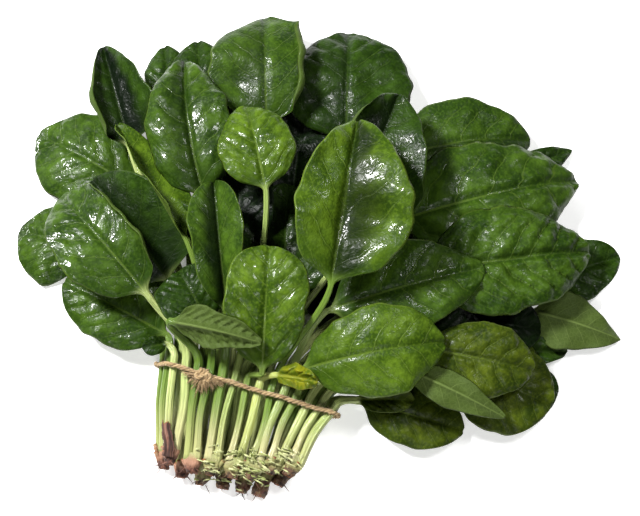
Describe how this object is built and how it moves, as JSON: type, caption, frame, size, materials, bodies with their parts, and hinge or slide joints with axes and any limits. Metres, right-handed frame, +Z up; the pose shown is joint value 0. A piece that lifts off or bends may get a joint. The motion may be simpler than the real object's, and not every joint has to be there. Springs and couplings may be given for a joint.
{
  "type": "spinach bunch",
  "caption": "Fresh spinach bunch lying down: glossy leaves on pale stalks, root crowns still on, tied round the stalks with jute cord.",
  "frame": {"origin": "on the surface that the bunch lies on, below the middle of its plan outline", "axes": "+Z up, +Y from the root crowns towards the leaves, +X to the right when looking along +Y"},
  "size_m": [0.3732, 0.3035, 0.0851],
  "materials": {
    "leaf_green": "wet gloss, quilted leaf",
    "leaf_dark": "wet gloss, quilted leaf, dark",
    "leaf_bright": "wet gloss, quilted leaf, light",
    "leaf_underside": "matt leaf underside, veined",
    "leaf_yellowed": "limp, yellowed leaf",
    "root_crown": "knobbly, cut, reddish brown",
    "jute": "twisted natural jute"
  },
  "bodies": {
    "root": {"jute_cord": "jute", "jute_knot": "jute", "leaf_back_middle": "leaf_dark", "leaf_centre": "leaf_bright", "leaf_centre_back": "leaf_dark", "leaf_draped_underside": "leaf_underside", "leaf_far_left": "leaf_green", "leaf_far_right": "leaf_dark", "leaf_front_oval": "leaf_bright", "leaf_front_spoon": "leaf_bright", "leaf_inner_right": "leaf_dark", "leaf_left_folded": "leaf_dark", "leaf_left_glossy": "leaf_green", "leaf_left_strip": "leaf_green", "leaf_left_upper": "leaf_green", "leaf_low_left_pale": "leaf_green", "leaf_low_middle_dark": "leaf_dark", "leaf_low_right_bottom": "leaf_green", "leaf_low_right_large": "leaf_green", "leaf_low_right_olive": "leaf_underside", "leaf_low_right_oval": "leaf_green", "leaf_low_right_point": "leaf_dark", "leaf_low_right_round": "leaf_dark", "leaf_low_right_small": "leaf_green", "leaf_middle_dark": "leaf_dark", "leaf_middle_folded": "leaf_green", "leaf_middle_left_dark": "leaf_dark", "leaf_middle_shiny": "leaf_bright", "leaf_middle_square": "leaf_dark", "leaf_right_bumpy": "leaf_green", "leaf_right_crinkled": "leaf_green", "leaf_right_low_dark": "leaf_dark", "leaf_right_pale": "leaf_underside", "leaf_right_point": "leaf_dark", "leaf_right_upper": "leaf_green", "leaf_right_veined": "leaf_green", "leaf_tie_left_small": "leaf_dark", "leaf_top": "leaf_green", "leaf_top_right": "leaf_dark", "leaf_upper_left_back": "leaf_dark", "leaf_upper_left_glossy": "leaf_green", "leaf_upper_left_lobe": "leaf_dark", "leaf_upper_left_tall": "leaf_dark", "leaf_yellowed_small": "leaf_yellowed", "root_crown_lower_1": "root_crown", "root_crown_lower_2": "root_crown", "root_crown_lower_3": "root_crown", "root_crown_lower_4": "root_crown", "root_crown_lower_5": "root_crown", "root_crown_lower_6": "root_crown", "root_crown_lower_7": "root_crown", "root_crown_upper_1": "root_crown", "root_crown_upper_2": "root_crown", "root_crown_upper_3": "root_crown", "root_crown_upper_4": "root_crown", "root_crown_upper_5": "root_crown", "root_crown_upper_6": "root_crown", "root_crown_upper_7": "root_crown"}
  },
  "joints": []
}
